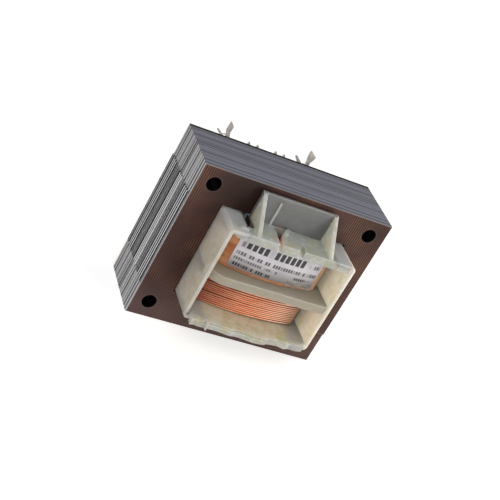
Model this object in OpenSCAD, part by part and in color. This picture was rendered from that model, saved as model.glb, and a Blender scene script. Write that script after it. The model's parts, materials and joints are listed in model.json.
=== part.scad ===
// Laminated chassis transformer: an interleaved EI core, a two-section moulded
// bobbin with one winding in each section, two slip-on insulating shrouds and
// four forked solder lugs. It is clamped to a chassis through its corner holes.
//
// X runs along the width, Y along the depth of the stack (the front is -Y) and
// Z up. The origin is the middle of the face that the core stands on.

/* [Core] */
// Half the width of the centre leg, which every other size of a sheet follows
leg_unit = 9; // [8.5:0.5:10]
// Number of sheets in the stack
sheet_count = 38; // [34:2:42]
// Thickness of one sheet
sheet_t = 0.5; // [0.45:0.01:0.5]
// Oxide and varnish between two sheets
sheet_gap = 0.018; // [0.01:0.002:0.03]
// Radius of the four clamping holes
hole_r = 1.9; // [1.6:0.1:2.2]
// How far each of the two sheet sets sits to its own side
sheet_shift = 0.11; // [0:0.01:0.15]
// Air gap where the legs of an E meet its I
joint_gap = 0.05; // [0.03:0.01:0.1]

/* [Bobbin] */
// Overhang of the flanges past the stack, front and back
overhang = 10.4; // [9:0.1:12]
// Wall of the tube around the centre leg
tube_t = 0.85; // [0.7:0.05:1]
// Thickness of the top flange, which carries the lugs
top_flange_t = 2.1; // [1.8:0.1:2.4]
// Thickness of the bottom flange
bottom_flange_t = 1.75; // [1.5:0.05:2]
// Thickness of the divider between the two sections
divider_t = 2.2; // [1.5:0.1:2.4]
// Height of the divider's underside above the bottom flange
secondary_room = 9.8; // [9:0.1:11]
// Corner radius of the flanges
flange_r = 1.2; // [0.8:0.1:2]
// Radius of the corners that are cut back for the leads
lead_corner_r = 5; // [3:0.1:6]

/* [Terminal housing] */
// Width over the side walls
housing_w = 21.4; // [20:0.1:22]
// Height above the top flange
housing_h = 7.9; // [6:0.1:8.5]
// Wall thickness
housing_t = 1; // [0.8:0.1:1.2]

/* [Shrouds] */
// Wall thickness
shroud_t = 0.85; // [0.7:0.05:0.9]
// Clearance to the sides and ends of the core window
shroud_gap = 0.15; // [0.1:0.05:0.2]
// Half the distance between the inner edges of the two shrouds
shroud_edge_x = 12.4; // [12:0.1:13]

/* [Windings] */
// Turns that show in the lower section
secondary_turns = 16; // [14:1:20]
// Corner radius of both coils
coil_r = 4; // [3:0.1:4.5]
// Bulge of the lower coil in front of the stack
secondary_build = 5.2; // [5:0.1:5.6]
// Bulge of the upper coil in front of the stack
primary_build = 6.3; // [6:0.1:6.5]
// Radius of the thick secondary lead
secondary_wire_r = 0.25; // [0.2:0.01:0.3]
// Radius of the primary lead in its sleeve
primary_wire_r = 0.2; // [0.15:0.01:0.25]

/* [Solder lugs] */
// Distance from one lug to the next
lug_pitch = 8.2; // [8:0.1:8.4]
// Thickness of the lug strip
lug_t = 0.6; // [0.5:0.05:0.7]

/* [Hidden] */
$fn = 48;

// Core
core_w = 6 * leg_unit;
core_h = 5 * leg_unit;
window_h = 3 * leg_unit;
hole_inset = leg_unit / 2;
sheet_pitch = sheet_t + sheet_gap;
stack = sheet_count * sheet_pitch - sheet_gap;
stack_y = stack / 2;

// Bobbin heights, from the bottom of the window upwards
bobbin_z0 = leg_unit + shroud_gap;
bobbin_z1 = 4 * leg_unit - shroud_gap;
secondary_z0 = bobbin_z0 + bottom_flange_t;
secondary_z1 = secondary_z0 + secondary_room;
primary_z0 = secondary_z1 + divider_t;
primary_z1 = bobbin_z1 - top_flange_t;

// Bobbin plan
tube_gap = 0.15;
tube_x = leg_unit + tube_gap + tube_t;
tube_y = stack_y + tube_gap + tube_t;
tube_r = 0.6;
edge_y = stack_y + overhang;
air = 0.05;
fit = 0.1;
shroud_x = 2 * leg_unit - shroud_gap - air;
flange_x = shroud_x - shroud_t - fit;
rebate_x = shroud_edge_x - fit;
rebate_t = shroud_t + fit;
housing_gap = 1;

// Torn front of the bottom flange: [place along X, how far it stands past the flange]. Between
// the two places in torn_split it tore in two layers, the upper one further back
torn_edge = [
    [-16.7, 0.5], [-16.2, 1.3], [-16.5, 2.5], [-15.2, 2.1], [-13.8, 2.4], [-12.4, 2.2],
    [-12.2, 3.5], [-11.5, 2.3], [-9.4, 2.2], [-7.2, 2.5], [-5.2, 2.8], [-3.6, 2.4],
    [-1.9, 2.5], [0.8, 3], [3, 2.9], [4.6, 2.6], [5.6, 1.9], [7, 1.7], [8.8, 1.5],
    [10.6, 2.1], [12.1, 1.4], [14.4, 1.5], [16.5, 0.9]
];
torn_split = [-13, 4];
torn_t = 1.05;
torn_step = 0.35;

// Windings: room beside a coil, its half width, height of a turn's crest, and how far each
// coil's front bulges past the stack and its corners drop back from there
coil_room = 1.1;
coil_x = flange_x - coil_room;
turn_crest = 0.14;
secondary_bow = [secondary_build, 1.15];
primary_bow = [primary_build, 1.75];

// Label and tape: left and right ends, heights off the copper and thicknesses
label_x = [-11.5, 12.8];
tape_x = [4.8, 12.7];
label_lift = 0.04;
label_t = 0.1;
tape_lift = 0.18;
tape_t = 0.05;

// Lugs
lug_y = edge_y - 1.2;
lug_w = 2.2;
rail_h = 1.4;
rail_d = 2.3;
rail_y = lug_y - rail_d / 2 - fit;
lug_foot_z = primary_z1 + 0.7;
lug_fit = 0.02;
lug_x = [for (k = [-1.5, -0.5, 0.5, 1.5]) k * lug_pitch];
lug_turn = [-25, 0, 0, 0];
notch_z = [40.8, 39.4, 39.4, 40.4];
slot_y = stack_y + primary_build + 0.5;

// ---------- shared shapes ----------

// Rectangle with round corners, about the origin
module rounded_rect(w, d, r) {
    square([w - 2 * r, d], center = true);
    square([w, d - 2 * r], center = true);
    for (x = [-1, 1], y = [-1, 1])
        translate([x * (w / 2 - r), y * (d / 2 - r)])
            circle(r);
}

// Upright plate whose outline is drawn in X and Z, from y to y + t
module upright(y, t) {
    translate([0, y + t, 0])
        rotate([90, 0, 0])
            linear_extrude(t)
                children();
}

// Faces that join n rings of m points each, closed into a loop or capped at the ends
function ring_faces(n, m, loop) = concat(
    [for (j = [0 : (loop ? n : n - 1) - 1], k = [0 : m - 1])
        [j * m + k, j * m + (k + 1) % m, (j + 1) % n * m + (k + 1) % m, (j + 1) % n * m + k]],
    loop ? [] : [[for (k = [m - 1 : -1 : 0]) k], [for (k = [0 : m - 1]) (n - 1) * m + k]]
);

// Path with its corners cut off, run twice for a soft bend
function soften(path) = concat(
    [path[0]],
    [for (k = [0 : len(path) - 2], t = [0.25, 0.75]) path[k] * (1 - t) + path[k + 1] * t],
    [path[len(path) - 1]]
);

// Direction of a path at its point k
function heading(path, k) =
    let (step = path[min(k + 1, len(path) - 1)] - path[max(k - 1, 0)])
    step / norm(step);

// Round wire along a path that never runs along X
module wire(corners, r, sides = 8) {
    path = soften(soften(corners));
    points = [for (k = [0 : len(path) - 1], a = [0 : 360 / sides : 359])
        let (t = heading(path, k), side = cross(t, [1, 0, 0]), u = side / norm(side), v = cross(u, t))
        path[k] + r * (cos(a) * u + sin(a) * v)];
    polyhedron(points, ring_faces(len(path), sides, false));
}

// ---------- core ----------

// Small repeatable unevenness from sheet to sheet
function uneven(i, size) = size * sin(i * 137.5);

module clamping_holes() {
    for (x = [-1, 1], z = [0, 1])
        translate([x * (core_w / 2 - hole_inset), hole_inset + z * (core_h - 2 * hole_inset)])
            circle(hole_r);
}

// E with its back at the top and its three legs down
module e_outline() {
    translate([-core_w / 2, leg_unit])
        difference() {
            square([core_w, core_h - leg_unit]);
            for (x = [leg_unit, 4 * leg_unit])
                translate([x, -1])
                    square([leg_unit, window_h + 1]);
        }
}

module i_outline() {
    translate([-core_w / 2, 0])
        square([core_w, leg_unit - joint_gap]);
}

// Sheet number i, with its outline pushed sideways and the holes in line
module sheet(i, side) {
    upright(-stack_y + i * sheet_pitch, sheet_t)
        difference() {
            translate([side * sheet_shift + uneven(i, 0.04), 0])
                children();
            clamping_holes();
        }
}

module turned_over() {
    translate([0, core_h])
        mirror([0, 1])
            children();
}

module e_laminations_top() {
    color("#4e403f")
        for (i = [0 : 2 : sheet_count - 1])
            sheet(i, 1)
                e_outline();
}

module e_laminations_bottom() {
    color("#564846")
        for (i = [1 : 2 : sheet_count - 1])
            sheet(i, -1)
                turned_over()
                    e_outline();
}

// Closes the E sheets that have their back at the bottom
module i_laminations_top() {
    color("#7e7f88")
        for (i = [1 : 2 : sheet_count - 1])
            sheet(i, 1)
                turned_over()
                    i_outline();
}

// Closes the E sheets that have their back at the top
module i_laminations_bottom() {
    color("#757069")
        for (i = [0 : 2 : sheet_count - 1])
            sheet(i, -1)
                i_outline();
}

// ---------- bobbin ----------

module flange_plate(z, t) {
    translate([0, 0, z])
        linear_extrude(t)
            rounded_rect(2 * flange_x, 2 * edge_y, flange_r);
}

// Large round corners that give the leads room, at the front left if turned by 0
module lead_corners(z, t, turns) {
    for (a = turns)
        rotate([0, 0, a])
            translate([lead_corner_r - flange_x, lead_corner_r - edge_y, z - 1])
                difference() {
                    translate([-lead_corner_r - 1, -lead_corner_r - 1, 0])
                        cube([lead_corner_r + 1, lead_corner_r + 1, t + 2]);
                    translate([0, 0, -1])
                        cylinder(r = lead_corner_r, h = t + 4);
                }
}

// Space that the shrouds' returns take out of a flange, as far back as back_y
module return_rebates(z, back_y) {
    for (x = [-rebate_x - 10, rebate_x])
        translate([x, -edge_y - 1, z - rebate_t])
            cube([10, edge_y + 1 + back_y, 2 * rebate_t]);
}

// Rough edge left where a front strip was broken off the bottom flange
module torn_lip() {
    for (layer = [[0, torn_t, 0], [torn_t, bottom_flange_t - torn_t, torn_step]])
        translate([0, -edge_y, bobbin_z0 + layer[0]])
            linear_extrude(layer[1])
                polygon(concat(
                    [[-flange_x + flange_r, flange_r]],
                    [for (p = torn_edge) [p[0], (is_split(p[0]) ? layer[2] : 0) - p[1]]],
                    [[flange_x - flange_r, flange_r]]
                ));
}

function is_split(x) = x > torn_split[0] && x < torn_split[1];

// Side wall of the housing, a gusset that slopes from its top to the flange edge
module housing_gusset(x) {
    back = stack_y + housing_gap;
    translate([x, 0, 0])
        rotate([90, 0, 90])
            linear_extrude(housing_t)
                polygon([
                    [-back, bobbin_z1 - 1],
                    [-back, bobbin_z1 + housing_h],
                    [-back - housing_t, bobbin_z1 + housing_h],
                    [-edge_y, bobbin_z1 - 0.2],
                    [-edge_y, bobbin_z1 - 1]
                ]);
}

module housing() {
    upright(-stack_y - housing_gap - housing_t, housing_t)
        translate([-housing_w / 2, bobbin_z1 - 1])
            square([housing_w, housing_h + 1]);
    housing_gusset(-housing_w / 2);
    housing_gusset(housing_w / 2 - housing_t);
    // Thin rib up the back wall
    translate([-5.4, -stack_y - 1.9 - housing_t / 2, bobbin_z1 - 0.5])
        cube([0.45, 0.8, housing_h - 0.9]);
    // Raised tongue beside the wire funnel
    translate([-0.8, -stack_y - 4, bobbin_z1 - 0.5])
        rotate([0, 0, -30])
            linear_extrude(1.2)
                rounded_rect(1.2, 3.4, 0.55);
}

// Wire funnel with its slit to the edge, a second notch and two pin holes
module housing_floor_cuts() {
    translate([0, -stack_y, primary_z1 - 1])
        linear_extrude(top_flange_t + 2) {
            polygon([
                [-4.1, -2.1], [-4.2, -3.3], [-3.75, -4.4], [-4.1, -6.7], [-4.5, -11],
                [-3.3, -11], [-2.65, -6], [-1.8, -3.9], [0.1, -2.1]
            ]);
            polygon([[2.9, -7.2], [1.7, -9], [1.1, -11], [2.6, -11], [3.4, -8.2]]);
        }
    for (x = [-7.2, 6.4])
        translate([x, -edge_y + 1.7, bobbin_z1 - 0.8])
            cylinder(r = 0.4, h = 2);
}

// Slot between the left shroud's return and the housing, open as far as the yoke
module shroud_slot() {
    translate([0, 0, primary_z1 - 1])
        linear_extrude(top_flange_t + 2)
            polygon([
                [-rebate_x - 0.01, -stack_y + 1.3], [-rebate_x - 0.01, -stack_y - 6.4],
                [-rebate_x + 0.6, -stack_y - 6.4], [-housing_w / 2 - 0.05, -stack_y - 3.6],
                [-housing_w / 2 - 0.05, -stack_y + 1.3]
            ]);
}

// Bar on the back edge that holds the lugs
module lug_rail() {
    translate([0, lug_y, bobbin_z1 - 0.5])
        linear_extrude(rail_h + 0.5)
            rounded_rect(3 * lug_pitch + 5, rail_d, 0.8);
}

module lug_pockets() {
    for (k = [0 : 3])
        translate([lug_x[k], lug_y, lug_foot_z])
            rotate([0, 0, lug_turn[k]])
                translate([-lug_w / 2 - lug_fit, -lug_t / 2 - lug_fit, 0])
                    cube([lug_w + 2 * lug_fit, lug_t + 2 * lug_fit, 10]);
}

// Slots that let the leads up to the lugs at the back
module lead_slots() {
    for (k = [0 : 3])
        translate([lead_x(k), slot_y, primary_z1 - 1])
            linear_extrude(top_flange_t + 2)
                rounded_rect(1.6, 1.2, 0.5);
    for (k = [2, 3])
        translate([lead_x(k), edge_y - 1.8, secondary_z1 - 1])
            linear_extrude(divider_t + 2)
                rounded_rect(1.2, 4, 0.5);
}

module bobbin() {
    color("#d8d3bd")
        difference() {
            union() {
                translate([0, 0, bobbin_z0])
                    linear_extrude(bobbin_z1 - bobbin_z0)
                        rounded_rect(2 * tube_x, 2 * tube_y, tube_r);
                flange_plate(bobbin_z0, bottom_flange_t);
                flange_plate(secondary_z1, divider_t);
                flange_plate(primary_z1, top_flange_t);
                torn_lip();
                housing();
                lug_rail();
            }
            translate([-tube_x + tube_t, -tube_y + tube_t, 0])
                cube([2 * (tube_x - tube_t), 2 * (tube_y - tube_t), core_h]);
            lead_corners(secondary_z1, divider_t, [0, 180]);
            lead_corners(primary_z1, top_flange_t, [0]);
            return_rebates(bobbin_z0, edge_y + 1);
            return_rebates(bobbin_z1, rail_y);
            housing_floor_cuts();
            shroud_slot();
            lug_pockets();
            lead_slots();
        }
}

// ---------- shrouds ----------

// Channel section seen from the front, open towards the middle
module shroud_section() {
    h = bobbin_z1 - bobbin_z0;
    translate([0, core_h / 2])
        difference() {
            rounded_rect(2 * shroud_x, h, 1.1);
            rounded_rect(2 * (shroud_x - shroud_t), h - 2 * shroud_t, 0.3);
            translate([-shroud_edge_x, -h])
                square([4 * shroud_x, 2 * h]);
        }
}

// The top return stops short of the lug rail
module shroud_channel() {
    difference() {
        upright(-edge_y, 2 * edge_y)
            shroud_section();
        translate([shroud_t - shroud_x, rail_y - fit, bobbin_z1 - shroud_t - 0.3])
            cube([shroud_x, overhang, shroud_t + 1]);
    }
}

// The left shroud has a notch and a snap nub on its top return
module shroud_left() {
    color("#dcd7c3") {
        difference() {
            shroud_channel();
            translate([-shroud_edge_x, -stack_y, bobbin_z1 - 2])
                linear_extrude(4)
                    polygon([[-1.6, -6.5], [1, -5.8], [1, -7.1], [-1.5, -6.9]]);
        }
        translate([-shroud_edge_x - 1.3, -stack_y - 8.2, bobbin_z1 - shroud_t])
            rotate([0, 0, -20])
                linear_extrude(shroud_t + 0.5)
                    rounded_rect(2.5, 1.3, 0.6);
    }
}

module shroud_right() {
    color("#dcd7c3")
        mirror([1, 0, 0])
            shroud_channel();
}

// ---------- windings ----------

// Centre of a coil's corner arcs in X and Y. A bow is [bulge, drop of the corners]
coil_cx = coil_x - coil_r;
function coil_cy(bow) = stack_y + bow[0] - coil_r - bow[1];

// Radius of the arc that bows a coil's front, tangent to both of its corners
function bow_radius(bow) =
    let (rise = coil_r + bow[1])
    (coil_cx * coil_cx + rise * rise - coil_r * coil_r) / (2 * bow[1]);

function polar(r, a) = [r * cos(a), r * sin(a)];

function arc(r, from_a, to_a, steps) = [for (k = [0 : steps])
    polar(r, from_a + (to_a - from_a) * k / steps)];

// Round corner of a coil, as stations of [outer point, outward angle, inner point]
function corner_stations(side, from_a, to_a, bow, steps = 6) = [for (k = [0 : steps])
    let (a = from_a + (to_a - from_a) * k / steps, a_in = (side < 0 ? 180 : 270) + 90 * k / steps)
    [
        [side * coil_cx, -coil_cy(bow)] + polar(coil_r, a),
        a,
        [side * (tube_x - tube_r), tube_r - tube_y] + polar(tube_r + air, a_in)
    ]];

// Bowed face between the two corners
function bow_stations(bow_r, bow_a, bow, steps = 6) = [for (k = [1 : steps - 1])
    let (a = 270 - bow_a + 2 * bow_a * k / steps, p = [0, bow_r - stack_y - bow[0]] + polar(bow_r, a))
    [p, a, [p[0] * (tube_x - tube_r) / coil_cx, -tube_y - air]]];

// Coil around the tube, with a crest of the given height for each outer turn
module coil(z0, z1, bow, turns, crest) {
    bow_r = bow_radius(bow);
    bow_a = asin(coil_cx / (bow_r - coil_r));
    front = concat(
        corner_stations(-1, 180, 270 - bow_a, bow),
        bow_stations(bow_r, bow_a, bow),
        corner_stations(1, 270 + bow_a, 360, bow)
    );
    stations = concat(front, [for (s = front) [-s[0], s[1] + 180, -s[2]]]);
    outline = [for (k = [0 : 2 * turns]) [k % 2 == 0 ? crest : 0, z0 + (z1 - z0) * k / (2 * turns)]];
    points = [for (s = stations) each concat(
        [for (o = outline) let (p = s[0] - polar(o[0], s[1])) [p[0], p[1], o[1]]],
        [[s[2][0], s[2][1], z1], [s[2][0], s[2][1], z0]]
    )];
    polyhedron(points, ring_faces(len(stations), len(outline) + 2, true));
}

// Fine enamelled wire, whose turns lie too close to tell apart
module primary_winding() {
    color("#c4703f")
        coil(primary_z0 + air, primary_z1 - air, primary_bow, 1, 0);
}

// Thick enamelled wire, one crest for each turn of the outer layer
module secondary_winding() {
    color("#c8693a")
        coil(secondary_z0 + air, secondary_z1 - air, secondary_bow,
            secondary_turns, turn_crest);
}

// Piece of sheet that follows the bowed front of the upper coil between two places along X
module on_primary(ends, z0, z1, lift, t) {
    bow_r = bow_radius(primary_bow);
    from_a = 270 + asin(ends[0] / bow_r);
    to_a = 270 + asin(ends[1] / bow_r);
    translate([0, bow_r - stack_y - primary_bow[0], z0])
        linear_extrude(z1 - z0)
            polygon(concat(
                arc(bow_r + lift, from_a, to_a, 24),
                arc(bow_r + lift + t, to_a, from_a, 24)
            ));
}

module label() {
    color("#c3c1cc")
        on_primary(label_x, primary_z0 + 0.7, primary_z1 - 0.4, label_lift, label_t);
}

module label_tape() {
    color("#b3a9a0")
        on_primary(tape_x, primary_z0 + 0.1, primary_z0 + 1.9, tape_lift, tape_t);
}

// ---------- lugs, leads and solder ----------

// Inner lug: straight strip with two short points
module inner_fork() {
    polygon([
        [-1.1, lug_foot_z], [1.1, lug_foot_z], [1.1, 38.2], [1.75, 39.5], [1.6, 41.6],
        [1.3, 42], [1, 41.5], [0.3, 39.4], [-0.3, 39.4], [-1, 41.5],
        [-1.3, 42], [-1.6, 41.6], [-1.75, 39.5], [-1.1, 38.2]
    ]);
}

// Outer lug at the left: a short prong leans out, the other is a tall blade
module left_fork() {
    polygon([
        [-1.1, lug_foot_z], [1.1, lug_foot_z], [1.1, 41.3], [0.6, 42.7], [0.8, 44.6],
        [-0.3, 45.5], [-0.6, 45.4], [-0.75, 43], [-0.05, 41.5], [-0.05, 40.4],
        [-0.7, 40.4], [-1.2, 41.5], [-2.6, 42.2], [-2.95, 41.9], [-1.8, 41.1], [-1.1, 40]
    ]);
}

// Outer lug at the right: a long prong leans out, the other is a broad blade
module right_fork() {
    polygon([
        [-1.1, lug_foot_z], [1.1, lug_foot_z], [1.1, 41], [0.9, 42], [1.3, 42.9], [1.75, 44.2],
        [-0.2, 45.5], [-0.55, 45.3], [-0.45, 43.3], [-0.1, 41.7], [-0.1, 40.4],
        [-0.7, 40.4], [-1.1, 41.1], [-2.1, 41.9], [-3.5, 43], [-4, 42.6], [-3, 41.5],
        [-1.1, 39.6]
    ]);
}

module lug(k) {
    color("#c9c4b4")
        translate([lug_x[k], lug_y, 0])
            rotate([0, 0, lug_turn[k]])
                upright(-lug_t / 2, lug_t)
                    if (k == 0)
                        left_fork();
                    else if (k == 3)
                        right_fork();
                    else
                        inner_fork();
}

module lug_1() { lug(0); }
module lug_2() { lug(1); }
module lug_3() { lug(2); }
module lug_4() { lug(3); }

// Lugs 1 and 2 end the primary, lugs 3 and 4 the secondary
function lead_r(k) = k < 2 ? primary_wire_r : secondary_wire_r;
function lead_x(k) = lug_x[k] * 0.86;
// Middle of the notch, where the wire lies across the lug
function notch_x(k) = k == 0 || k == 3 ? -0.45 : 0;

// Lead from the back of its coil, up through its slot and across its lug's notch
module lead(k) {
    r = lead_r(k);
    rise_y = stack_y + (k < 2 ? primary_build : secondary_build) + r + air;
    start_z = k < 2 ? primary_z1 - 4 : secondary_z1 - 3;
    z = notch_z[k] + r + 0.02;
    x = lug_x[k] + notch_x(k) * cos(lug_turn[k]);
    y = lug_y + notch_x(k) * sin(lug_turn[k]);
    bend = k < 2
        ? [[lead_x(k), slot_y, primary_z1 - 0.8]]
        : [[lead_x(k), edge_y - 2.6, secondary_z1 - 0.6],
           [lead_x(k), edge_y - 2.6, primary_z0 + 0.8],
           [lead_x(k), slot_y + 0.1, primary_z1 - 0.8]];
    color(k < 2 ? "#b5673c" : "#c8693a")
        wire(concat(
            [[lead_x(k), rise_y, start_z]],
            bend,
            [[lead_x(k), slot_y + 0.1, bobbin_z1 + 0.6],
             [x, y - 1.4, z],
             [x, y + 0.9, z]]
        ), r);
}

module lead_1() { lead(0); }
module lead_2() { lead(1); }
module lead_3() { lead(2); }
module lead_4() { lead(3); }

// Drop of solder that fills the notch around the wire
module solder(k) {
    color("#b9babd")
        difference() {
            translate([lug_x[k], lug_y, 0])
                rotate([0, 0, lug_turn[k]])
                    translate([notch_x(k), 0, notch_z[k] + 0.25])
                        sphere(r = 0.75, $fn = 24);
            lug(k);
            lead(k);
        }
}

module solder_1() { solder(0); }
module solder_2() { solder(1); }
module solder_3() { solder(2); }
module solder_4() { solder(3); }

e_laminations_top();
e_laminations_bottom();
i_laminations_top();
i_laminations_bottom();
bobbin();
shroud_left();
shroud_right();
primary_winding();
secondary_winding();
label();
label_tape();
lug_1();
lug_2();
lug_3();
lug_4();
lead_1();
lead_2();
lead_3();
lead_4();
solder_1();
solder_2();
solder_3();
solder_4();
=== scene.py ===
import json
import math

import bpy
from mathutils import Euler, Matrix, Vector, noise


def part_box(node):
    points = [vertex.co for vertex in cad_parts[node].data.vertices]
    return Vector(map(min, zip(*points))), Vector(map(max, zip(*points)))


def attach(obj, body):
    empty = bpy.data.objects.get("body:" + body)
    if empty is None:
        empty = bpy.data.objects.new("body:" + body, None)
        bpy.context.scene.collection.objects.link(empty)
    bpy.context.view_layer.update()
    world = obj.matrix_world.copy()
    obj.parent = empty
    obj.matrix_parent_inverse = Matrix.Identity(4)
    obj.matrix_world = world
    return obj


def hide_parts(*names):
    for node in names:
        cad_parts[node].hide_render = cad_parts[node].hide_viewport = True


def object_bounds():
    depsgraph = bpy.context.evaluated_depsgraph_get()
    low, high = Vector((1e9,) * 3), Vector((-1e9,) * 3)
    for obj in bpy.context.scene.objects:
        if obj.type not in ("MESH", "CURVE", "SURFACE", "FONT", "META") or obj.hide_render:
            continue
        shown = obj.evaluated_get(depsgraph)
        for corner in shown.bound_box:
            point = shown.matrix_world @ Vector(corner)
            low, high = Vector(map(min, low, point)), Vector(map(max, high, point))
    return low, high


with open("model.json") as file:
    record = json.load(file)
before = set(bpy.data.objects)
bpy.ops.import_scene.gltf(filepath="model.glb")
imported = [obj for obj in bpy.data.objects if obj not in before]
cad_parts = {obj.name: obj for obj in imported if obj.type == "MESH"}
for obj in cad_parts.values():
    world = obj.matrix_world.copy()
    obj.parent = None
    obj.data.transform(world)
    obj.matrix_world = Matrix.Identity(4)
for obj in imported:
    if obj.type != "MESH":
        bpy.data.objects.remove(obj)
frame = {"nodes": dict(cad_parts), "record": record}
nodes = frame["nodes"]
cad_low, cad_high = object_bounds()
mm = 0.001

# ---------- view and studio ----------
# A white sweep under five soft boxes and a pale room. The camera looks down on the
# front left of the transformer through a long lens, with its head tilted.

middle = (cad_low + cad_high) / 2
camera_azimuth = math.radians(-29.09)
camera_elevation = math.radians(24.44)
camera_roll = math.radians(30.37)
camera_distance = 0.3102
aim = middle + Vector((-0.4, 0.2, -0.5)) * mm


def direction(azimuth, elevation):
    """Unit vector from the part towards a camera or lamp; azimuth 0 is in front of it."""
    return Vector((
        math.sin(azimuth) * math.cos(elevation),
        -math.cos(azimuth) * math.cos(elevation),
        math.sin(elevation),
    ))


towards_camera = direction(camera_azimuth, camera_elevation)
level_view = (-towards_camera).to_track_quat("-Z", "Y").to_matrix()
bpy.ops.object.camera_add(location=aim + towards_camera * camera_distance)
camera = bpy.context.object
camera.name = "studio_camera"
camera.rotation_euler = (level_view @ Euler((0, 0, camera_roll)).to_matrix()).to_euler()
camera.data.lens = 87.2
camera.data.clip_start = 0.01
bpy.context.scene.camera = camera


def hex_colour(code):
    """Linear RGBA of an sRGB hex colour."""
    steps = [int(code[k:k + 2], 16) / 255 for k in (1, 3, 5)]
    return [s / 12.92 if s <= 0.04045 else ((s + 0.055) / 1.055) ** 2.4 for s in steps] + [1.0]


def add(owner, kind, *values, **settings):
    """Adds a shader node to a material or world. The values go to its inputs in order, or by name
    from a dict. Each is a plain value, a hex colour, a socket, or a node for its first output."""
    node = owner.node_tree.nodes.new("ShaderNode" + kind)
    for name, setting in settings.items():
        setattr(node, name, setting)
    sockets = [s for s in node.inputs if s.enabled]
    named = {s.name: s for s in reversed(sockets)}
    pairs = list(zip(sockets, values))
    if values and isinstance(values[0], dict):
        pairs = [(named[name], value) for name, value in values[0].items()]
    for target, value in pairs:
        if isinstance(value, bpy.types.Node):
            value = next(s for s in value.outputs if s.enabled)
        if isinstance(value, bpy.types.NodeSocket):
            owner.node_tree.links.new(value, target)
        else:
            target.default_value = hex_colour(value) if isinstance(value, str) else value
    return node


def empty_tree(owner):
    """The same material or world, with nodes and nothing in its tree."""
    owner.use_nodes = True
    owner.node_tree.nodes.clear()
    return owner


def seen_directly(owner):
    """1 for rays from the camera and for those that metal and clear film send on."""
    rays = add(owner, "LightPath")
    sent_on = rays.outputs["Is Glossy Ray"], rays.outputs["Is Transmission Ray"]
    mirrored = add(owner, "Math", *sent_on, operation="MAXIMUM")
    return add(owner, "Math", rays.outputs["Is Camera Ray"], mirrored, operation="MAXIMUM")


box_distance = 0.7  # in m, from the middle of the part
box_size = 0.42


def soft_box(name, azimuth, elevation, power, colour):
    """A square lamp that faces the part. The angles are in degrees."""
    towards = direction(math.radians(azimuth), math.radians(elevation))
    bpy.ops.object.light_add(type="AREA", location=middle + towards * box_distance)
    lamp = bpy.context.object
    lamp.name = name
    lamp.rotation_euler = towards.to_track_quat("Z", "Y").to_euler()
    lamp.data.size = box_size
    lamp.data.energy = power
    lamp.data.color = hex_colour(colour)[:3]


soft_box("front_box", azimuth=38, elevation=7, power=2.6, colour="#fff9f2")
soft_box("right_box", azimuth=110, elevation=8, power=4.4, colour="#fff4e6")
soft_box("high_box", azimuth=-30, elevation=40, power=1.5, colour="#fffaf4")
soft_box("left_box", azimuth=-75, elevation=40, power=0.5, colour="#fff4ea")
soft_box("top_box", azimuth=0, elevation=85, power=0.8, colour="#eaeeff")

room = empty_tree(bpy.data.worlds.new("pale_room"))
room_light = add(room, "Background", "#f4f5fa", 0.03)
room_white = add(room, "Background", "#ffffff", 1.0)
add(room, "OutputWorld", add(room, "MixShader", seen_directly(room), room_light, room_white))
bpy.context.scene.world = room
bpy.context.scene.view_settings.view_transform = "Standard"

# The sweep is white card, lifted to plain white for the eye. Near the part the lift is weaker,
# so that the shadow still shows. The distances are in metres from the middle
sweep_card = empty_tree(bpy.data.materials.new("white_sweep_card"))
card = add(sweep_card, "BsdfDiffuse", "#f0f0f0")
from_middle = add(
    sweep_card, "VectorMath", add(sweep_card, "TexCoord").outputs["Object"], operation="LENGTH")
card_lift = add(sweep_card, "MapRange", from_middle.outputs["Value"], 0.25, 0.8, 0.62, 1.0)
card_lift = add(sweep_card, "Math", seen_directly(sweep_card), card_lift, operation="MULTIPLY")
card_white = add(sweep_card, "Emission", "#ffffff", card_lift)
add(sweep_card, "OutputMaterial", add(sweep_card, "AddShader", card, card_white))

bpy.ops.mesh.primitive_circle_add(
    vertices=96, radius=4, fill_type="NGON", location=(0, 0, cad_low.z))
sweep = bpy.context.object
sweep.name = "white_sweep"
sweep.data.materials.append(sweep_card)

# ---------- core: stamped E and I sheets ----------
# Scrapless EI sheets of cold rolled silicon steel, 0.5 mm thick, stamped, annealed and
# stacked one by one from both sides of the bobbin. Their faces carry a brown oxide and
# varnish film with the lines of the rolling, and their cut edges are bare grey steel.

# In mm, but for the sheets painted black as shade: their pitch counts sheets, and the other two are
# shares of it
sheet_pitch = 0.518
core_low, core_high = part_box("e_laminations_top")
front_y = core_low.y / mm
core_top = core_high.z / mm
half_width = 27.1  # of the sheets that stand out
strip_width = 0.28  # of the strip of face beside a sheet that sits back
line_pitch = 0.62  # between the lines of the rolling
black_pitch, black_start, black_share = 2.35, 0.6, 0.55
corner_holes = next(m for m in frame["record"]["mounts"] if m["name"] == "corner_holes")
hole_x = corner_holes["dims"]["spacing_x_mm"] / 2
hole_z = corner_holes["dims"]["spacing_y_mm"] / 2
hole_mid_z = corner_holes["pos_m"][2] / mm
hole_r = corner_holes["dims"]["hole_r_mm"]


def millimetres(material):
    """Object coordinates in mm: the whole vector, X, Y and Z."""
    place = add(material, "TexCoord").outputs["Object"]
    scaled = add(material, "VectorMath", {"Vector": place, "Scale": 1 / mm}, operation="SCALE")
    return scaled, *add(material, "SeparateXYZ", scaled).outputs


def grain(material, place, size, detail=3.0):
    """Noise from 0 to 1 whose grain has that size in mm along X, Y and Z."""
    squeezed = add(material, "VectorMath", place, size, operation="DIVIDE")
    return add(material, "TexNoise", {"Vector": squeezed, "Scale": 1.0, "Detail": detail})


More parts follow.
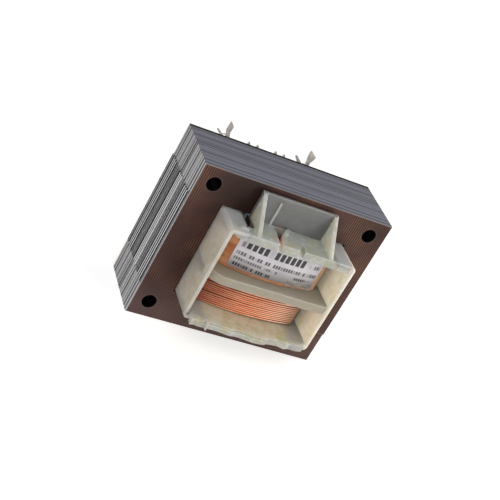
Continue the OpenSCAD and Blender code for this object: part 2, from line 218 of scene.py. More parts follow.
def silicon_steel(name, lines_along):
    """Oxide on the faces, bare steel on the edges. lines_along is 'Z' on an E and 'X' on an I."""
    steel = empty_tree(bpy.data.materials.new(name))
    place, x, y, z = millimetres(steel)
    facing = add(steel, "SeparateXYZ", add(steel, "TexCoord").outputs["Normal"])
    on_face = add(steel, "Math", facing.outputs["Y"], operation="ABSOLUTE")
    on_face = add(steel, "Math", on_face, 0.5, operation="GREATER_THAN")
    facing_up = add(steel, "Math", facing.outputs["Z"], 0.5, operation="GREATER_THAN")
    on_top = add(steel, "Math", z, core_top - 0.5, operation="GREATER_THAN")
    on_top = add(steel, "Math", on_top, facing_up, operation="MULTIPLY")

    # Faces: brown film, thinner along the lines of the rolling, which come and go in patches. The
    # real lines are finer, and are drawn this far apart to show
    side_on = x if lines_along == "Z" else z
    across = add(steel, "Math", side_on, math.tau / line_pitch, operation="MULTIPLY")
    wave = add(steel, "MapRange", add(steel, "Math", across, operation="SINE"), -0.2, 0.9)
    patches = add(steel, "MapRange", grain(steel, place, (9, 9, 9)), 0.42, 0.62, 0.25, 1.0)
    line = add(steel, "Math", wave, patches, operation="MULTIPLY")
    cloud = add(steel, "MapRange", grain(steel, place, (14, 14, 14), 5), 0.35, 0.65)
    film = add(steel, "Mix", cloud, "#2c1917", "#482f2d", data_type="RGBA")
    film = add(steel, "Mix", line, film, "#75533d", data_type="RGBA")

    # It is greyer near the base, and painted darker beside the housing as the housing's shadow
    low_film = add(steel, "MapRange", z, 3, 11, 0.5, 0.0)
    film = add(steel, "Mix", low_film, film, "#64504e", data_type="RGBA")
    to_housing_shadow = add(steel, "VectorMath", place, (-14, front_y, 41), operation="DISTANCE")
    housing_shadow = add(steel, "MapRange", to_housing_shadow.outputs["Value"], 4, 13, 0.75, 0.0)
    film = add(steel, "Mix", housing_shadow, film, "#1c100c", data_type="RGBA")

    # The burr along the top and the left of the front sheet is bare steel, painted bright as a
    # highlight
    top_burr = add(steel, "Math", z, core_top - 0.25, operation="GREATER_THAN")
    left_burr = add(steel, "Math", x, 0.3 - half_width, operation="LESS_THAN")
    top_burr = add(steel, "Math", top_burr, 0.35, operation="MULTIPLY")
    left_burr = add(steel, "Math", left_burr, 0.8, operation="MULTIPLY")
    burr_highlight = add(steel, "Math", top_burr, left_burr, operation="MAXIMUM")
    film = add(steel, "Mix", burr_highlight, film, "#c6c6ca", data_type="RGBA")

    # Edges: each sheet has a tone of its own, and a few, at random, are painted black as the shade
    # of sheets that sit deeper. On top the steel is painted darker and bluer, as shade under the
    # dim cool top light, and the front of each edge is dark, where the punch broke it off
    depth = add(steel, "Math", y, front_y - 0.01, operation="SUBTRACT")
    depth = add(steel, "Math", depth, sheet_pitch, operation="DIVIDE")
    number = add(steel, "Math", depth, operation="FLOOR")
    tone = add(steel, "TexWhiteNoise", number, noise_dimensions="1D")
    burr = grain(steel, place, (8, 0.3, 8), 4)
    shine = add(steel, "MapRange", add(steel, "Mix", 0.5, tone, burr), 0.2, 0.75)
    shaded_top_steel = add(steel, "Mix", shine, "#2b2c35", "#75778a", data_type="RGBA")
    into_sheet = add(steel, "Math", depth, operation="FRACT")
    broken = add(steel, "Math", into_sheet, 0.36, operation="LESS_THAN")
    broken = add(steel, "Math", broken, 0.8, operation="MULTIPLY")
    shaded_top_steel = add(steel, "Mix", broken, shaded_top_steel, "#100f12", data_type="RGBA")
    deep_top_shade = add(steel, "Math", tone, 0.22, operation="LESS_THAN")
    deep_top_shade = add(steel, "Math", deep_top_shade, 0.5, operation="MULTIPLY")
    shaded_top_steel = add(steel, "Mix", deep_top_shade, shaded_top_steel, "#0a0a0c", data_type="RGBA")

    # Along the legs every other sheet sits back in the shade of the next one, and the strip of
    # face that shows there stands for it. Single sheets are too fine to show, so the black comes
    # round every black_pitch sheets in place of every 2
    beside_window = add(steel, "Math", z, hole_mid_z, core_top * 0.3, operation="COMPARE")
    shown = add(steel, "Math", number, on_face, operation="SUBTRACT")
    repeats = add(steel, "Math", shown, black_pitch, operation="DIVIDE")
    repeats = add(steel, "Math", repeats, black_start, operation="ADD")
    into_repeat = add(steel, "Math", repeats, operation="FRACT")
    shaded = add(steel, "Math", into_repeat, black_share, operation="LESS_THAN")
    leg_steel = add(steel, "Mix", shine, "#98989b", "#d0d0d2", data_type="RGBA")
    # Sheets that sit back are painted black here, as their shade
    recess_shade_black = add(steel, "Mix", on_face, "#1d1c1d", "#010101", data_type="RGBA")
    leg_steel = add(steel, "Mix", shaded, leg_steel, recess_shade_black, data_type="RGBA")
    # A few sheets, at random, are painted black as the shade of sheets that sit deeper
    deep_side_shade = add(steel, "Math", tone, 0.15, operation="LESS_THAN")
    deep_side_shade = add(steel, "Math", deep_side_shade, 0.75, operation="MULTIPLY")
    side_steel = add(steel, "Mix", shine, "#6c6c70", "#b0afb1", data_type="RGBA")
    side_steel = add(steel, "Mix", deep_side_shade, side_steel, "#060607", data_type="RGBA")
    side_steel = add(steel, "Mix", beside_window, side_steel, leg_steel, data_type="RGBA")
    off_middle = add(steel, "Math", x, operation="ABSOLUTE")
    # The strip of face beside each sheet that sits back is painted black as shade, and along the
    # legs it takes the leg pattern
    strip = add(steel, "Math", off_middle, half_width - strip_width, operation="GREATER_THAN")
    behind_first = add(steel, "Math", number, 0.5, operation="GREATER_THAN")
    strip = add(steel, "Math", strip, behind_first, operation="MULTIPLY")
    strip_steel = add(steel, "Mix", beside_window, "#040404", leg_steel, data_type="RGBA")
    film = add(steel, "Mix", strip, film, strip_steel, data_type="RGBA")

    # The last sheets are black with varnish on top. The small steps where the legs end are pale
    bare = add(steel, "Mix", on_top, side_steel, shaded_top_steel, data_type="RGBA")
    on_step = add(steel, "Math", facing_up, on_top, operation="SUBTRACT")
    bare = add(steel, "Mix", on_step, bare, "#d8d8da", data_type="RGBA")
    rear_sheets = add(steel, "MapRange", y, -front_y - 1.7, -front_y - 0.8)
    blackened = add(steel, "Math", rear_sheets, on_top, operation="MULTIPLY")
    bare = add(steel, "Mix", blackened, bare, "#020202", data_type="RGBA")

    # The clamping holes are painted black inside as shade, with a faint pale burr around the rim
    from_x = add(steel, "Math", off_middle, hole_x, operation="SUBTRACT")
    from_z = add(steel, "Math", z, hole_mid_z, operation="SUBTRACT")
    from_z = add(steel, "Math", from_z, operation="ABSOLUTE")
    from_z = add(steel, "Math", from_z, hole_z, operation="SUBTRACT")
    radius = add(steel, "VectorMath", add(steel, "CombineXYZ", from_x, from_z), operation="LENGTH")
    rim = add(steel, "MapRange", radius, hole_r + 0.1, hole_r + 0.45, 0.12, 0.0)
    film = add(steel, "Mix", rim, film, "#8d817c", data_type="RGBA")
    surface = add(steel, "Mix", on_face, bare, film, data_type="RGBA")
    in_hole = add(steel, "Math", radius, hole_r + 0.04, operation="LESS_THAN")
    surface = add(steel, "Mix", in_hole, surface, "#010202", data_type="RGBA")

    coated = add(steel, "Math", on_face, in_hole, operation="MAXIMUM")
    coated = add(steel, "Math", coated, blackened, operation="MAXIMUM")
    dull = add(steel, "Math", strip, blackened, operation="MAXIMUM")
    relief = add(steel, "Math", line, 0.5, operation="MULTIPLY")
    relief = add(steel, "Math", relief, burr, operation="ADD")
    bump = add(steel, "Bump", {"Strength": 0.25, "Distance": 0.04 * mm, "Height": relief})
    shader = add(steel, "BsdfPrincipled", {
        "Base Color": surface, "Metallic": add(steel, "MapRange", coated, 0, 1, 1.0, 0.2),
        "Specular IOR Level": add(steel, "MapRange", dull, 0, 1, 0.3, 0.0),
        "Roughness": add(steel, "MapRange", on_face, 0, 1, 0.38, 0.52), "Normal": bump})
    add(steel, "OutputMaterial", shader)
    return steel


def dress(names, material):
    """Gives each of these CAD nodes that material alone."""
    for name in names:
        nodes[name].data.materials.clear()
        nodes[name].data.materials.append(material)


dress(["e_laminations_top", "e_laminations_bottom"], silicon_steel("oxide_faced_e_sheet", "Z"))
dress(["i_laminations_top", "i_laminations_bottom"], silicon_steel("oxide_faced_i_sheet", "X"))

# ---------- bobbin ----------
# One moulding in natural nylon with three flanges, a terminal housing and a rail for the
# lugs. It is cream, a little green in the thick parts, and lets light through its walls.


def rounded_edge(material, radius):
    """The normal of an edge rounded to that radius in mm, and a mask that is 1 along the edge."""
    rounded = add(material, "Bevel", radius * mm, samples=6)
    true_normal = add(material, "NewGeometry").outputs["Normal"]
    agree = add(material, "VectorMath", rounded, true_normal, operation="DOT_PRODUCT")
    return rounded, add(material, "MapRange", agree, 0.72, 0.99, 1.0, 0.0)


# Places in the moulding, in mm. A pair is a middle and a half width
over_low_flange = 11.3
over_top_flange = 36.0
divider_z = (21.8, 1.4)
slot_x, slot_y, slot_z = (-11.6, 0.98), (-13.2, 3.2), (34.8, 1.3)
slit_x, slit_y, slit_z = (-2.6, 1.7), (-16, 4), (34.7, 0.95)


def natural_nylon(name, body, deep, low_body, stain, divider_darkening):
    """Moulded nylon: mottled, softly translucent, with painted highlights along its edges. low_body
    is the colour of the low flange's upper side, painted paler as the light that comes through it.
    stain is how strong the varnish on the low flange is, and the last how much darker and greyer
    the divider is."""
    nylon = empty_tree(bpy.data.materials.new(name))
    place, x, y, z = millimetres(nylon)
    facing_z = add(nylon, "SeparateXYZ", add(nylon, "TexCoord").outputs["Normal"]).outputs["Z"]
    low_down = add(nylon, "Math", z, over_low_flange, operation="LESS_THAN")
    facing_up = add(nylon, "Math", facing_z, 0.5, operation="GREATER_THAN")
    flow = grain(nylon, place, (7, 7, 5), 4)
    fine = grain(nylon, place, (0.6, 0.6, 0.6), 2)
    cloud = add(nylon, "MapRange", flow, 0.35, 0.68)
    colour = add(nylon, "Mix", cloud, body, deep, data_type="RGBA")
    # The low flange's upper side is painted paler, as the light that comes through it
    on_low_flange = add(nylon, "Math", low_down, facing_up, operation="MULTIPLY")
    colour = add(nylon, "Mix", on_low_flange, colour, low_body, data_type="RGBA")
    speckle = add(nylon, "MapRange", fine, 0.5, 0.8, 0.0, 0.25)
    colour = add(nylon, "Mix", speckle, colour, "#f3efe2", data_type="RGBA")

    # Green and straw-coloured drifts in the moulding, and honey-coloured varnish that soaked in
    for tint, size, strength in (
            ("#a3b886", 3.1, 0.5), ("#cdbb7c", 2.3, 0.45),
            ("#c7a08c", 1.7, 0.2), ("#e6ebe2", 1.9, 0.4)):
        spread = grain(nylon, place, (size, size, size))
        drift = add(nylon, "MapRange", spread, 0.52, 0.72, 0.0, strength)
        colour = add(nylon, "Mix", drift, colour, tint, data_type="RGBA")
    spread = grain(nylon, place, (3.5, 3.5, 3.5), 5)
    soaked = add(nylon, "MapRange", spread, 0.55, 0.75, 0.0, stain)
    soaked = add(nylon, "Math", soaked, low_down, operation="MULTIPLY")
    colour = add(nylon, "Mix", soaked, colour, "#b39a55", data_type="RGBA")

    # The thin back wall of the housing is painted darker as shade, where the dark core shows
    # through it, and the deep slot beside the housing is painted dark as shade
    before_core = add(nylon, "Math", y, front_y - 2.2, operation="GREATER_THAN")
    over_flange = add(nylon, "Math", z, over_top_flange, operation="GREATER_THAN")
    in_front = add(nylon, "Math", y, front_y, operation="LESS_THAN")
    back_wall_shade = add(nylon, "Math", before_core, over_flange, operation="MULTIPLY")
    back_wall_shade = add(nylon, "Math", back_wall_shade, in_front, operation="MULTIPLY")
    back_wall_shade = add(nylon, "Math", back_wall_shade, 0.8, operation="MULTIPLY")
    colour = add(nylon, "Mix", back_wall_shade, colour, "#66686d", data_type="RGBA")
    slot_shade = add(nylon, "Math", x, *slot_x, operation="COMPARE")
    slot_height = add(nylon, "Math", z, *slot_z, operation="COMPARE")
    slot_shade = add(nylon, "Math", slot_shade, slot_height, operation="MULTIPLY")
    slot_depth = add(nylon, "Math", y, *slot_y, operation="COMPARE")
    slot_shade = add(nylon, "Math", slot_shade, slot_depth, operation="MULTIPLY")
    colour = add(nylon, "Mix", slot_shade, colour, "#332a28", data_type="RGBA")

    # Light from the copper below is painted onto the nylon in the slit of the wire funnel: an
    # orange glow deep in, paler towards the front
    slit = add(nylon, "Math", x, *slit_x, operation="COMPARE")
    slit_height = add(nylon, "Math", z, *slit_z, operation="COMPARE")
    slit_depth = add(nylon, "Math", y, *slit_y, operation="COMPARE")
    slit = add(nylon, "Math", slit, slit_height, operation="MULTIPLY")
    slit = add(nylon, "Math", slit, slit_depth, operation="MULTIPLY")
    inwards = add(nylon, "MapRange", y, -17.6, -15.4)
    slit_glow = add(nylon, "Mix", inwards, "#e0d2c6", "#c4552c", data_type="RGBA")
    colour = add(nylon, "Mix", slit, colour, slit_glow, data_type="RGBA")

    # The ends of the upper flange are thick and pale
    off_middle = add(nylon, "Math", x, operation="ABSOLUTE")
    thick_end = add(nylon, "Math", off_middle, 12.9, operation="GREATER_THAN")
    high_up = add(nylon, "MapRange", z, 30, 35, 0.0, 0.6)
    thick_end = add(nylon, "Math", thick_end, high_up, operation="MULTIPLY")
    colour = add(nylon, "Mix", thick_end, colour, "#f6f3e2", data_type="RGBA")

    # The divider is darker and greyer than the rest
    divider = add(nylon, "Math", z, *divider_z, operation="COMPARE")
    divider = add(nylon, "Math", divider, divider_darkening, operation="MULTIPLY")
    colour = add(nylon, "Mix", divider, colour, "#a39a86", data_type="RGBA")

    # Along the edges the nylon is painted paler, as a highlight
    rounded, edge = rounded_edge(nylon, 0.22)
    edge_share = add(nylon, "MapRange", low_down, 0, 1, 0.75, 0.3)
    edge = add(nylon, "Math", edge, edge_share, operation="MULTIPLY")
    colour = add(nylon, "Mix", edge, colour, "#f2f4ef", data_type="RGBA")

    # The torn front of the low flange is rough
    torn = add(nylon, "MapRange", y, -20.9, -20.3, 7.0, 1.0)
    fine_relief = add(nylon, "Math", fine, torn, operation="MULTIPLY")
    relief = add(nylon, "Math", flow, 2.0, operation="MULTIPLY")
    relief = add(nylon, "Math", relief, fine_relief, operation="ADD")
    bump = add(nylon, "Bump", {
        "Strength": 0.35, "Distance": 0.08 * mm, "Height": relief, "Normal": rounded})
    shader = add(nylon, "BsdfPrincipled", {
        "Base Color": colour, "Roughness": 0.44, "IOR": 1.53, "Normal": bump,
        "Subsurface Weight": 1.0, "Subsurface Radius": (1.0, 0.9, 0.75),
        "Subsurface Scale": 6 * mm})
    add(nylon, "OutputMaterial", shader)
    return nylon


# The bobbin is the same nylon as the shrouds, painted darker as shade
dress(["bobbin"], natural_nylon(
    "natural_nylon_bobbin", "#b7bebd", "#abb3ad", low_body="#e4e2cc", stain=0.5, divider_darkening=0.7))

# ---------- shrouds ----------
# Two channel-shaped shells in the same nylon, slipped over the ends of the flanges from
# the sides before the sheets go in. They insulate the windings from the core's legs.

dress(["shroud_left", "shroud_right"], natural_nylon(
    "natural_nylon_shroud", "#d5d3ca", "#cac9bc", low_body="#d5d3ca", stain=0.25, divider_darkening=0.0))

# ---------- lower winding ----------
# The secondary: thick enamelled copper wire, wound in layers by a machine. Each turn of
# the outer layer shows, the last ones lie a little unevenly, and a few gaps have opened.

coil_low, coil_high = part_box("secondary_winding")
secondary_half = ((coil_high.x - coil_low.x) / 2, (coil_high.y - coil_low.y) / 2)
secondary_shape = dict(corner_r=4 * mm, crown=1.15 * mm)
wire_r = 0.265 * mm
turns = 16
coil_wall = 2.5 * mm


def bow(half_w, corner_r, crown):
    """Radius of a coil's bowed front, and half of the angle that it spans."""
    corner_x = half_w - corner_r
    rise = corner_r + crown
    radius = (corner_x ** 2 + rise ** 2 - corner_r ** 2) / (2 * crown)
    return radius, math.asin(corner_x / (radius - corner_r))


def coil_outline(half_w, half_d, corner_r, crown):
    """Points around a coil. Its sides are flat, its corners round, and its front and back bow
    out by crown past the corners."""
    bow_r, bow_angle = bow(half_w, corner_r, crown)
    corner_x = half_w - corner_r
    corner_y = corner_r + crown - half_d
    bow_start = 1.5 * math.pi - bow_angle
    bow_end = 1.5 * math.pi + bow_angle
    arcs = (
        (Vector((-corner_x, corner_y)), corner_r, math.pi, bow_start, 10),
        (Vector((0, bow_r - half_d)), bow_r, bow_start, bow_end, 24),
        (Vector((corner_x, corner_y)), corner_r, bow_end, math.tau, 10),
    )
    front = []
    for centre, radius, start, end, steps in arcs:
        for k in range(steps):
            angle = start + (end - start) * k / steps
            front.append(centre + radius * Vector((math.cos(angle), math.sin(angle))))
    front.append(Vector((half_w, corner_y)))
    return front + [-point for point in front]


def only(piece):
    """Selects one object and nothing else."""
    bpy.ops.object.select_all(action="DESELECT")
    piece.select_set(True)
    bpy.context.view_layer.objects.active = piece


def coil_body(outline, z_low, z_high, wall):
    """Solid ring between two heights, with an even wall inside its outline."""
    bpy.ops.object.select_all(action="DESELECT")
    bpy.ops.mesh.primitive_circle_add(vertices=len(outline), fill_type="NGON")
    body = bpy.context.object
    for vertex, point in zip(body.data.vertices, outline):
        vertex.co = (point.x, point.y, z_low)
    bpy.ops.object.mode_set(mode="EDIT")
    bpy.ops.mesh.select_all(action="SELECT")
    bpy.ops.mesh.inset(thickness=wall)
    bpy.ops.mesh.delete(type="FACE")
    bpy.ops.mesh.select_all(action="SELECT")
    bpy.ops.mesh.extrude_region_move(TRANSFORM_OT_translate={"value": (0, 0, z_high - z_low)})
    bpy.ops.mesh.select_all(action="SELECT")
    bpy.ops.mesh.normals_make_consistent()
    bpy.ops.object.mode_set(mode="OBJECT")
    return body


def hand_over(piece, name, material, node):
    """Names a finished piece, gives it its material, and puts it in place of its CAD node."""
    piece.name = name
    piece.data.name = name
    piece.data.materials.clear()
    piece.data.materials.append(material)
    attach(piece, "root")
    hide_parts(node)


def enamelled_copper(name, bright, deep, rough, size):
    """Copper under clear enamel: warm and satin, darker in patches of that size in mm."""
    copper = empty_tree(bpy.data.materials.new(name))
    place, x, _, _ = millimetres(copper)
    drift = add(copper, "MapRange", grain(copper, place, size, 4), 0.35, 0.65)
    colour = add(copper, "Mix", drift, deep, bright, data_type="RGBA")
    # The left end is painted dark red-brown, as shade
    left_end_shade = add(copper, "MapRange", x, -14.5, -3, 0.85, 0.0)
    colour = add(copper, "Mix", left_end_shade, colour, "#741f14", data_type="RGBA")
    # The right end is painted paler, as light
    right_end_light = add(copper, "MapRange", x, 2, 12, 0.0, 0.9)
    colour = add(copper, "Mix", right_end_light, colour, "#ffcdb0", data_type="RGBA")
    # Painted shade between the turns, and on the flat layer beneath them, which lies in shadow
    level = add(copper, "SeparateXYZ", add(copper, "TexCoord").outputs["Normal"]).outputs["Z"]
    level = add(copper, "Math", level, operation="ABSOLUTE")
    groove = add(copper, "MapRange", level, 0.55, 0.9)
    beneath = add(copper, "MapRange", level, 0.01, 0.02, 1.0, 0.0)
    groove_shade = add(copper, "Math", groove, beneath, operation="MAXIMUM")
    groove_shade_colour = add(copper, "Mix", beneath, "#6e2814", "#2c0a05", data_type="RGBA")
    colour = add(copper, "Mix", groove_shade, colour, groove_shade_colour, data_type="RGBA")
    shader = add(copper, "BsdfPrincipled", {
        "Base Color": colour, "Metallic": 0.3, "Roughness": rough,
        "Coat Weight": 0.25, "Coat Roughness": 0.3})
    add(copper, "OutputMaterial", shader)
    return copper


# Gaps that opened between turns: the turn below each, its width, and which side it leans to
open_gaps = ((0, 0.12 * mm, 1), (5, 0.26 * mm, -1), (9, 0.10 * mm, 0), (10, 0.16 * mm, 0))
gaps_in_all = sum(width for _, width, _ in open_gaps)
spare = (coil_high.z - coil_low.z) - 2 * wire_r * (turns + 1) - gaps_in_all


def turn_height(turn, x):
    """Height of the wire's middle at that turn, a whole number or not, at x across the coil."""
    height = coil_low.z + wire_r + turn * (2 * wire_r + spare / turns)
    for below, width, lean in open_gaps:
        share = 0.5 + 0.5 * lean * x / secondary_half[0] if lean else 1.0
        height += width * share * max(0.0, min(1.0, turn - below))
    return height


turn_outline = coil_outline(
    secondary_half[0] - wire_r, secondary_half[1] - wire_r,
    secondary_shape["corner_r"] - wire_r, secondary_shape["crown"])
turn_curve = bpy.data.curves.new("secondary_turns", "CURVE")
turn_curve.dimensions = "3D"
turn_curve.bevel_depth = wire_r
turn_curve.bevel_resolution = 3
turn_curve.use_fill_caps = True
spline = turn_curve.splines.new("POLY")
spline.points.add(turns * len(turn_outline) - 1)
for k, spline_point in enumerate(spline.points):
    turn, station = divmod(k, len(turn_outline))
    point = turn_outline[station]
    waver = 0.03 * mm * noise.noise((point.x / mm * 0.25, turn * 1.7, point.y / mm * 0.25))
    height = turn_height(turn + station / len(turn_outline), point.x)
    spline_point.co = (point.x, point.y, height + waver, 1)
secondary = bpy.data.objects.new("secondary_turns", turn_curve)
bpy.context.collection.objects.link(secondary)
only(secondary)
bpy.ops.object.convert(target="MESH")
secondary = bpy.context.object
bpy.ops.object.shade_smooth()

under_half = [half - 1.3 * wire_r for half in secondary_half]
under_outline = coil_outline(*under_half, **secondary_shape)
under_layer = coil_body(under_outline, coil_low.z, coil_high.z, coil_wall)
only(secondary)
under_layer.select_set(True)
bpy.ops.object.join()
thick_copper = enamelled_copper("enamelled_copper_thick", "#ffbb92", "#f0885c", 0.45, (5, 5, 0.5))
hand_over(secondary, "secondary_turns", thick_copper, "secondary_winding")

# ---------- upper winding ----------
# The primary: thousands of turns of hair-thin enamelled wire. The turns are too fine to
# tell apart, so the coil shines like one sheet of copper with faint level lines.

fine_low, fine_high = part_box("primary_winding")
primary_half = ((fine_high.x - fine_low.x) / 2, (fine_high.y - fine_low.y) / 2)
primary_shape = dict(corner_r=4 * mm, crown=1.75 * mm)
primary_outline = coil_outline(*primary_half, **primary_shape)
primary = coil_body(primary_outline, fine_low.z, fine_high.z, coil_wall)
only(primary)
bpy.ops.object.shade_smooth_by_angle(angle=math.radians(40))


def fine_copper(name):
    """Sheet of hair-thin turns: satin along the wire, with lines drawn 0.3 mm apart to show. The
    ends of the coil, where the layers show edge-on, are matt, and painted a brighter orange as
    light."""
    copper = empty_tree(bpy.data.materials.new(name))
    place, x, _, z = millimetres(copper)
    facing_z = add(copper, "SeparateXYZ", add(copper, "TexCoord").outputs["Normal"]).outputs["Z"]
    on_end = add(copper, "Math", facing_z, 0.5, operation="GREATER_THAN")
    drift = add(copper, "MapRange", grain(copper, place, (6, 6, 1.6), 4), 0.35, 0.65)
    colour = add(copper, "Mix", drift, "#a5673f", "#c98e66", data_type="RGBA")
    level = add(copper, "Math", z, math.tau / 0.3, operation="MULTIPLY")
    wave = add(copper, "Math", level, operation="SINE")
    valley = add(copper, "MapRange", wave, 0.2, 1.0, 0.0, 0.35)
    colour = add(copper, "Mix", valley, colour, "#7c4327", data_type="RGBA")
    # The turns are paler towards the right end
    paler_right_end = add(copper, "MapRange", x, 9, 14, 0.0, 0.75)
    colour = add(copper, "Mix", paler_right_end, colour, "#ffdcc0", data_type="RGBA")
    colour = add(copper, "Mix", on_end, colour, "#ff8a4c", data_type="RGBA")
    bump = add(copper, "Bump", {"Strength": 0.5, "Distance": 0.05 * mm, "Height": wave})
    shader = add(copper, "BsdfPrincipled", {
        "Base Color": colour, "Metallic": add(copper, "MapRange", on_end, 0, 1, 0.6, 0.0),
        "Roughness": 0.5, "Normal": bump})
    add(copper, "OutputMaterial", shader)
    return copper


hand_over(
    primary, "primary_coil", fine_copper("enamelled_copper_fine"),
    "primary_winding")

# ---------- label and tape ----------
# A rating label on matt paper, wrapped on the bowed front of the upper coil, and a patch
# of clear tape pressed over its corner. Rows of plain blocks stand where it is printed.

bow_r, _ = bow(primary_half[0], **primary_shape)


def on_bow(x, z, lift):
    """Point at x along the bowed front of the upper coil, lifted off the copper."""
    angle = math.asin(x / bow_r)
    radius = bow_r + lift
    return Vector((radius * math.sin(angle), bow_r - primary_half[1] - radius * math.cos(angle), z))


def laid_sheet(low, high, columns, rows, thickness, lift_at):
    """Thin sheet laid on the bow between two corners; lift_at gives its height off the copper."""
    bpy.ops.object.select_all(action="DESELECT")
    bpy.ops.mesh.primitive_grid_add(x_subdivisions=columns, y_subdivisions=rows, size=2)
    sheet = bpy.context.object
    for vertex in sheet.data.vertices:
        x = low.x + (high.x - low.x) * (vertex.co.x + 1) / 2
        z = low.z + (high.z - low.z) * (vertex.co.y + 1) / 2
        vertex.co = on_bow(x, z, lift_at(x, z))
    solid = sheet.modifiers.new("thickness", "SOLIDIFY")
    solid.thickness = thickness
    solid.offset = 1
    bpy.ops.object.modifier_apply(modifier=solid.name)
    bpy.ops.object.shade_smooth_by_angle(angle=math.radians(50))
    return sheet


def label_lift(x, z):
    """The paper lies flat, with faint ripples."""
    ripple = noise.noise((x / mm * 0.35, 0, z / mm * 0.5))
    return (0.05 + 0.03 * ripple) * mm


def print_row(paper, colour, x, z, row_z, height, pitch, ink, x_low, x_high):
    """The colour with a row of plain black blocks over it, of one width, with some left out."""
    cell = add(paper, "Math", x, pitch, operation="DIVIDE")
    block = add(paper, "Math", cell, operation="FRACT")
    block = add(paper, "MapRange", block, 0.66, 0.84, ink, 0.0)
    draw = add(paper, "Math", cell, operation="FLOOR")
    draw = add(paper, "Math", draw, row_z * 7, operation="ADD")
    draw = add(paper, "TexWhiteNoise", draw, noise_dimensions="1D")
    kept = add(paper, "MapRange", draw, 0.1, 0.25)
    off_row = add(paper, "Math", z, row_z, operation="SUBTRACT")
    off_row = add(paper, "Math", off_row, operation="ABSOLUTE")
    band = add(paper, "MapRange", off_row, height / 2 - 0.08, height / 2 + 0.08, 1.0, 0.0)
    right_of = add(paper, "Math", x, x_low, operation="GREATER_THAN")
    left_of = add(paper, "Math", x, x_high, operation="LESS_THAN")
    inked = block
    for share in (kept, band, right_of, left_of):
        inked = add(paper, "Math", inked, share, operation="MULTIPLY")
    return add(paper, "Mix", inked, colour, "#08080b", data_type="RGBA")


def label_paper(name):
    """Matt grey-white paper with rows of black blocks, a little off level."""
    paper = empty_tree(bpy.data.materials.new(name))
    place, x, _, z = millimetres(paper)
    tilt = add(paper, "Math", x, 0.03, operation="MULTIPLY")
    level = add(paper, "Math", z, tilt, operation="ADD")
    cloud = add(paper, "MapRange", grain(paper, place, (4, 4, 3), 4), 0.35, 0.7)
    colour = add(paper, "Mix", cloud, "#dddce6", "#f3f1fa", data_type="RGBA")
    # The paper is darker towards the bottom
    darker_below = add(paper, "MapRange", z, 23.4, 28, 0.9, 0.0)
    colour = add(paper, "Mix", darker_below, colour, "#67645f", data_type="RGBA")
    for row_z, height, pitch, ink, x_low, x_high in (
            (30.5, 2.2, 1.55, 0.95, -10.6, 7.4),
            (30.1, 1.1, 0.75, 0.80, 8.2, 12.2),
            (27.6, 1.0, 0.75, 0.85, -10.9, 12.4),
            (26.0, 0.75, 0.65, 0.75, -10.9, 1.2),
            (24.4, 0.9, 0.7, 0.95, -10.9, 0.0),
            (25.8, 0.75, 0.65, 0.90, 6.2, 11.4)):
        colour = print_row(paper, colour, x, level, row_z, height, pitch, ink, x_low, x_high)
    shader = add(paper, "BsdfPrincipled", {
        "Base Color": colour, "Roughness": 0.7, "Coat Weight": 0.1, "Coat Roughness": 0.4})
    add(paper, "OutputMaterial", shader)
    return paper


label_low, label_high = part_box("label")
label_sheet = laid_sheet(label_low, label_high, 96, 40, 0.08 * mm, label_lift)
hand_over(label_sheet, "rating_label", label_paper("matt_label_paper"), "label")


def tape_lift(x, z):
    """The tape is crumpled into small sharp folds."""
    fold = noise.ridged_multi_fractal((x / mm * 0.7, 0, z / mm * 0.9), 1.0, 2.0, 3, 1.0, 2.0)
    return (0.16 + 0.10 * min(fold, 2.0)) * mm


def cloudy_film(name):
    """Clear film gone cloudy, with a gloss on its folds."""
    film = empty_tree(bpy.data.materials.new(name))
    place = millimetres(film)[0]
    haze = grain(film, place, (1.2, 1.2, 0.7), 4)
    cloud = add(film, "MapRange", haze, 0.35, 0.65)
    colour = add(film, "Mix", cloud, "#98948f", "#d5d2ce", data_type="RGBA")
    shader = add(film, "BsdfPrincipled", {
        "Base Color": colour, "Roughness": 0.28, "IOR": 1.47,
        "Alpha": add(film, "MapRange", haze, 0.3, 0.7, 0.15, 0.45)})
    add(film, "OutputMaterial", shader)
    return film


tape_low, tape_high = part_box("label_tape")
tape_patch = laid_sheet(tape_low, tape_high, 60, 24, 0.04 * mm, tape_lift)
hand_over(
    tape_patch, "crumpled_tape", cloudy_film("cloudy_clear_tape"), "label_tape")

# ---------- solder lugs, leads and solder ----------
# Four forked lugs stamped from brass strip and tinned, pressed into the rear rail of the
# bobbin. The windings' ends come up behind the coils and are soldered in the notches.


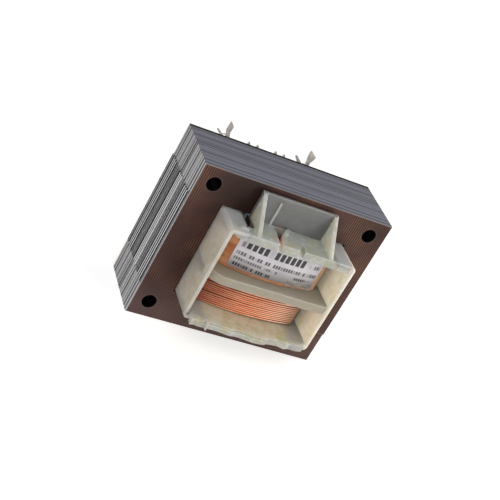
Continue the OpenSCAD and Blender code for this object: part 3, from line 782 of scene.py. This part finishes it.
def tinned_brass(name):
    """Dull white tin that has worn through to brass along the cut edges and near the rail."""
    tinned = empty_tree(bpy.data.materials.new(name))
    place, _, _, z = millimetres(tinned)
    spots = grain(tinned, place, (0.8, 0.8, 0.8), 4)
    cloud = add(tinned, "MapRange", spots, 0.35, 0.65)
    tin = add(tinned, "Mix", cloud, "#dededa", "#ffffff", data_type="RGBA")
    near_rail = add(tinned, "MapRange", z, 38.5, 41.5, 0.7, 0.0)
    in_spots = add(tinned, "MapRange", spots, 0.3, 0.6)
    worn = add(tinned, "Math", near_rail, in_spots, operation="MULTIPLY")
    rounded, edge = rounded_edge(tinned, 0.12)
    edge = add(tinned, "Math", edge, 0.7, operation="MULTIPLY")
    brassy = add(tinned, "Math", worn, edge, operation="MAXIMUM")
    colour = add(tinned, "Mix", brassy, tin, "#5c4a38", data_type="RGBA")
    shader = add(tinned, "BsdfPrincipled", {
        "Base Color": colour, "Metallic": 0.2, "Roughness": 0.36, "Normal": rounded})
    add(tinned, "OutputMaterial", shader)
    return tinned


dress(["lug_1", "lug_2", "lug_3", "lug_4"], tinned_brass("tinned_brass_strip"))
fine_lead = enamelled_copper("enamelled_copper_fine_lead", "#cf8252", "#a8592f", 0.38, (2, 2, 2))
thick_lead = enamelled_copper("enamelled_copper_lead", "#f4a97c", "#cf7148", 0.4, (2, 2, 2))
dress(["lead_1", "lead_2"], fine_lead)
dress(["lead_3", "lead_4"], thick_lead)


def tin_solder(name):
    """Frozen solder: bright, with a faint frosting."""
    solder = empty_tree(bpy.data.materials.new(name))
    place = millimetres(solder)[0]
    frost = grain(solder, place, (0.3, 0.3, 0.3), 4)
    colour = add(solder, "Mix", frost, "#9a9b9e", "#d4d5d6", data_type="RGBA")
    bump = add(solder, "Bump", {"Strength": 0.4, "Distance": 0.04 * mm, "Height": frost})
    shader = add(solder, "BsdfPrincipled", {
        "Base Color": colour, "Metallic": 1.0, "Roughness": 0.3, "Normal": bump})
    add(solder, "OutputMaterial", shader)
    return solder


dress(["solder_1", "solder_2", "solder_3", "solder_4"], tin_solder("frosted_solder"))
